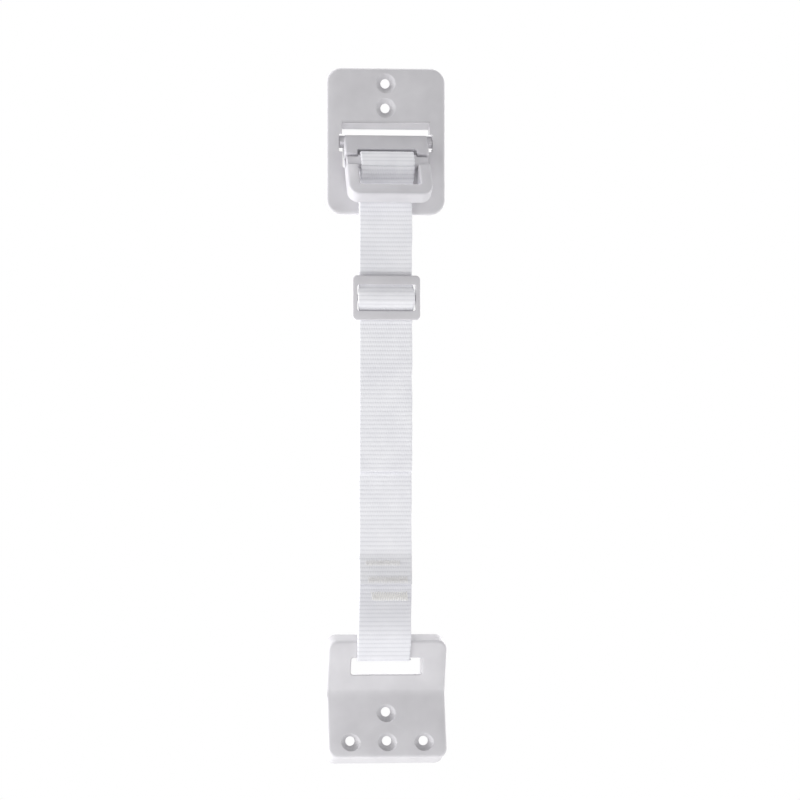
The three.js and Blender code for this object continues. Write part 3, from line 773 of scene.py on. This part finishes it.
# %% Weave the bulge
SLIDER_BACK_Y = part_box("strap_slider")[1].y / MM
SLIDER_BAR_THICKNESS = 1.3
BULGE_FLAT = 1.0
BULGE_HALF = 7.7
BULGE_SPREAD = 0.08
BULGE_GAP = 0.12
BULGE_TUCK = 0.3
BULGE_END = 2.5
BULGE_CROWN = 2.0
BULGE_THINNING = 3.4
EASE_HIDDEN = 0.9
EASE_SEEN = 2.2
peak = SLIDER_BACK_Y - SLIDER_BAR_THICKNESS - BULGE_GAP - STRAP_T / 2
tucked = TAIL_Y - BULGE_TUCK
upper = SLIDER_MIDDLE + BULGE_HALF
lower = SLIDER_MIDDLE - BULGE_HALF
flat_top = SLIDER_MIDDLE + BULGE_FLAT
flat_low = SLIDER_MIDDLE - BULGE_FLAT
bulge_points = (
    line((tucked, upper + BULGE_END), (tucked, upper))
    + bezier((tucked, upper), (tucked, upper - EASE_HIDDEN),
             (peak, flat_top + EASE_SEEN), (peak, flat_top))
    + line((peak, flat_top), (peak, flat_low))
    + bezier((peak, flat_low), (peak, flat_low - EASE_SEEN),
             (tucked, lower + EASE_HIDDEN), (tucked, lower))
    + line((tucked, lower), (tucked, lower - BULGE_END)))
print("bulge", round(tucked - peak, 2), "mm proud of the tail")


def bulge_width(z):
    from_middle = np.abs(z - SLIDER_MIDDLE)
    return 1 + BULGE_SPREAD * (1 - smooth(from_middle, BULGE_CROWN, BULGE_HALF))


bulge = woven_strip("slider_bulge", bulge_points, seed=7, thin_ends=BULGE_THINNING,
                    spread_out=bulge_width)
bulge.data.materials.append(WEBBING)
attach(bulge, "strap_slider")
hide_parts("webbing_strap")

# %% [markdown]
# ## The loop on the furniture plate
# A second length of the same webbing has both ends sewn behind the strap. It hangs over
# the front of the plate's top bar, folds into the slot and comes up behind the bar. The
# fold in the slot is the tight one, so its arc is drawn close around the bar.

# %% Weave the loop
BEND_FRONT_Y = -4.2
UPPER_WING_LENGTH = 26.6
UPPER_LEAN = math.radians(17.5)
UPPER_BACK_LIFT = math.radians(5.5)
PLATE_FILLET = 1.3
SLOT_TOP = -267.7
OFF = STRAP_T / 2 + LAYER_GAP
LAYER = STRAP_T + LAYER_GAP
FILLET_SHARE = 0.4
FRONT_EASE = 2.2
FRONT_BULGE = 0.25
BACK_EASE = 2.4


def upper_wing_front(along):
    return np.array([BEND_FRONT_Y - along * math.sin(UPPER_LEAN),
                     BEND_Z + along * math.cos(UPPER_LEAN)])


top_leg = MAIN_Y + LAYER - lean_forward(SEAM_TOP)
front_leg = MAIN_Y + LAYER - lean_forward(SEAM_LOW)
slope = 2 * SEAM_FORWARD / (SEAM_BEND_TOP - SEAM_LOW)
top_front = upper_wing_front(UPPER_WING_LENGTH)
slot_front = upper_wing_front((SLOT_TOP - BEND_Z) / math.cos(UPPER_LEAN))
back_face = -(SLOT_TOP - BEND_Z) * math.tan(UPPER_BACK_LIFT)
over = np.array([top_front[0] - OFF * math.cos(UPPER_LEAN),
                 top_front[1] + PLATE_FILLET * FILLET_SHARE - OFF * math.sin(UPPER_LEAN)])
slot_over = (slot_front[0] - OFF * math.cos(UPPER_LEAN),
             slot_front[1] - OFF * math.sin(UPPER_LEAN))
reach = (SEAM_LOW - over[1]) / FRONT_EASE
back_top = np.array([-UPPER_WING_LENGTH * math.tan(UPPER_BACK_LIFT) + OFF,
                     BEND_Z + UPPER_WING_LENGTH])
rise = (SEAM_LOW - back_top[1]) / BACK_EASE
loop_points = (
    line((top_leg, SEAM_TOP), (front_leg, SEAM_LOW))
    + bezier((front_leg, SEAM_LOW), (front_leg - reach * slope, SEAM_LOW - reach),
             (over[0] - reach * FRONT_BULGE, over[1] + reach), over)
    + line(over, slot_over)
    + arc(slot_front, OFF, math.pi + UPPER_LEAN, math.pi * 1.5)
    + line((slot_front[0], SLOT_TOP - OFF), (back_face, SLOT_TOP - OFF))
    + arc((back_face, SLOT_TOP), OFF, -math.pi / 2, 0)
    + line((back_face + OFF, SLOT_TOP), back_top)
    + bezier(back_top, (back_top[0] - rise * math.tan(UPPER_BACK_LIFT), back_top[1] + rise),
             (front_leg + LAYER - rise * slope, SEAM_LOW - rise), (front_leg + LAYER, SEAM_LOW))
    + line((front_leg + LAYER, SEAM_LOW), (top_leg + LAYER, SEAM_TOP)))
loop = woven_strip("loop_webbing", loop_points, seed=11)
loop.data.materials.append(SHADED_LOOP_WEBBING)
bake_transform(loop)
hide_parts("loop_strip")

# %% [markdown]
# ## The bar tacks
# Two rows of dense zigzag stitching hold the three layers. A machine sews each row as one
# thread going up and down, sinking into the cloth at every turn. Each row is a curve with a
# round section that follows that zigzag just above the webbing, in a slightly greyer
# thread. The rows are uneven, as they are on the real strap. A third, fainter row closes
# the loop below the strap's end.

# %% Sew the bar tacks
THREAD_RADIUS = 0.17
STITCH_PITCH = 0.42
STITCH_JITTER = 0.22
STITCH_SLANT = 0.8
STITCH_SINKS = ((0.0, -0.12), (0.12, 0.1), (0.5, 0.17), (0.88, 0.1), (1.0, -0.12))
BED_IN_STRAP = 0.1
BED_IN_LOOP = 0.02
BACK_SEED = 10
FRONT_PART_LENGTH = 30.0
TACKS = [
    ("upper_bar_tack", -10.0, 6.6, -221.3, -224.0, 21),
    ("lower_bar_tack", -8.9, 10.4, -229.0, -232.2, 22),
]
LOOP_TACK = ("loop_tack", -7.2, 10.2, -236.4, -240.6, 23)
FRONT_FACE = MAIN_Y - STRAP_T / 2
BACK_FACE = MAIN_Y + 2 * LAYER + STRAP_T / 2
loop_line, loop_lengths = walk(loop_points)
front_part = loop_line[loop_lengths < FRONT_PART_LENGTH][::-1]


def front_of_strap(z):
    return FRONT_FACE + BED_IN_STRAP - lean_forward(z)


def back_of_loop(z):
    return BACK_FACE - BED_IN_STRAP - lean_forward(z)


def front_of_loop(z):
    return np.interp(z, front_part[:, 1], front_part[:, 0]) - STRAP_T / 2 + BED_IN_LOOP


def sewn_row(name, left, right_end, high, low, seed, face, outward, thread):
    chance = np.random.RandomState(seed)
    count = int((right_end - left) / STITCH_PITCH)
    data = bpy.data.curves.new(name, "CURVE")
    data.dimensions = "3D"
    data.bevel_depth = THREAD_RADIUS * MM
    data.bevel_resolution = 2
    data.use_fill_caps = True
    spline = data.splines.new("POLY")
    points = []
    for k in range(count):
        x = left + k * STITCH_PITCH
        up_end, low_end = (high, low) if k % 2 == 0 else (low, high)
        jitter = chance.uniform(-STITCH_JITTER, STITCH_JITTER, 2)
        for share, sink in STITCH_SINKS:
            z = (up_end + jitter[0]) * (1 - share) + (low_end + jitter[1]) * share
            slant = share * STITCH_PITCH * STITCH_SLANT
            points.append((x + slant, face(z) + outward * sink, z))
    spline.points.add(len(points) - 1)
    for k, (x, y, z) in enumerate(points):
        spline.points[k].co = (x * MM, y * MM, z * MM, 1)
    curve = bpy.data.objects.new(name + "_curve", data)
    bpy.context.collection.objects.link(curve)
    graph = bpy.context.evaluated_depsgraph_get()
    mesh = bpy.data.meshes.new_from_object(curve.evaluated_get(graph))
    mesh.name = name
    bpy.data.objects.remove(curve)
    mesh.shade_smooth()
    row = bpy.data.objects.new(name, mesh)
    bpy.context.collection.objects.link(row)
    mesh.materials.clear()
    mesh.materials.append(thread)
    return row


def thread_material(name, dark, light):
    material = bpy.data.materials.new(name)
    material.use_nodes = True
    tree = material.node_tree
    shader = tree.nodes["Principled BSDF"]
    shader.inputs["Roughness"].default_value = 0.6
    shader.inputs["Sheen Weight"].default_value = 0.15
    place = tree.nodes.new("ShaderNodeTexCoord")
    fuzz = tree.nodes.new("ShaderNodeGroup")
    fuzz.node_tree = FUZZ
    tree.links.new(place.outputs["Object"], fuzz.inputs["Vector"])
    colour = ramp(tree, dark, light)
    tree.links.new(fuzz.outputs["Cloud"], colour.inputs["Fac"])
    tree.links.new(colour.outputs["Color"], shader.inputs["Base Color"])
    bump = tree.nodes.new("ShaderNodeBump")
    bump.inputs["Strength"].default_value = 0.4
    bump.inputs["Distance"].default_value = 0.00004
    tree.links.new(fuzz.outputs["Height"], bump.inputs["Height"])
    tree.links.new(bump.outputs["Normal"], shader.inputs["Normal"])
    return material


THREAD = thread_material("tack_thread", (0.70, 0.69, 0.69), (0.79, 0.78, 0.78))
FAINT_THREAD = thread_material("loop_thread", (0.865, 0.855, 0.835), (0.905, 0.895, 0.875))
for name, left, right_end, high, low, seed in TACKS:
    row = sewn_row(name, left, right_end, high, low, seed, front_of_strap, -1, THREAD)
    under = sewn_row(name + "_back", left, right_end, high, low, seed + BACK_SEED,
                     back_of_loop, 1, THREAD)
    for side in (row, under):
        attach(side, "wall_plate")
    print(name, len(row.data.polygons), "faces")
row = sewn_row(*LOOP_TACK, front_of_loop, -1, FAINT_THREAD)
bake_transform(row)
print(row.name, len(row.data.polygons), "faces")

# %% [markdown]
# ## The floor and the size
# The strap hangs, so the picture shows no floor. The size of the finished scene is
# measured from the bounds of its shown pieces.

# %% Measure the size
low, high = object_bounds()
